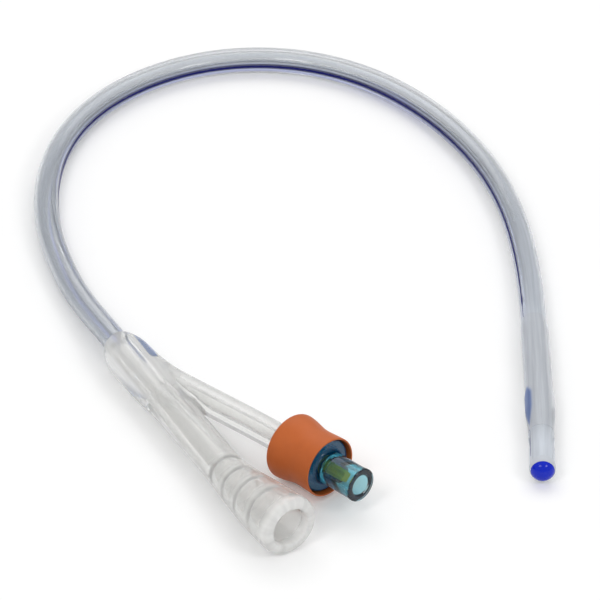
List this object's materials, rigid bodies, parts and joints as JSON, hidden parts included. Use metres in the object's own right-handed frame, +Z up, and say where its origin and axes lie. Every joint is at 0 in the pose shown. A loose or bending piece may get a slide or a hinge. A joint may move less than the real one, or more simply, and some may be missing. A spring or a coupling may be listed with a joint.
{
  "type": "urinary catheter",
  "caption": "Clear silicone Foley catheter lying in an arch, with a balloon sleeve, rounded blue tip, drainage funnel and sprung luer valve in an orange collar.",
  "frame": {"origin": "centre of the bounding box's base, on the table", "axes": "+Z up from the table, +Y from the funnel towards the top of the arch, +X from the funnel's leg towards the tip's leg"},
  "size_m": [0.1101, 0.1868, 0.0142],
  "materials": {
    "silicone": "clear silicone, satin",
    "balloon": "clear silicone, satin",
    "tip_blue": "smooth blue silicone",
    "collar_orange": "satin orange plastic",
    "valve_blue": "tinted clear blue plastic",
    "base_white": "plain white plastic",
    "stem_green": "yellow-green plastic",
    "seal_grey": "dark rubber",
    "spring_steel": "drawn stainless wire"
  },
  "bodies": {
    "catheter": {"shaft": "silicone", "tip": "tip_blue", "balloon": "balloon", "y_funnel": "silicone", "colour_collar": "collar_orange", "valve_body": "valve_blue", "valve_base": "base_white", "valve_spring": "spring_steel"},
    "stem": {"valve_stem": "stem_green", "stem_seal": "seal_grey"}
  },
  "joints": [
    {"name": "stem_slide", "type": "slide", "parent": "catheter", "child": "stem", "axis": [-0.6971, 0.7168, -0.0175], "range_m": [0, 0.002], "stiffness_N_per_m": 400, "springref_m": -0.001, "deforming": ["valve_spring"]}
  ]
}
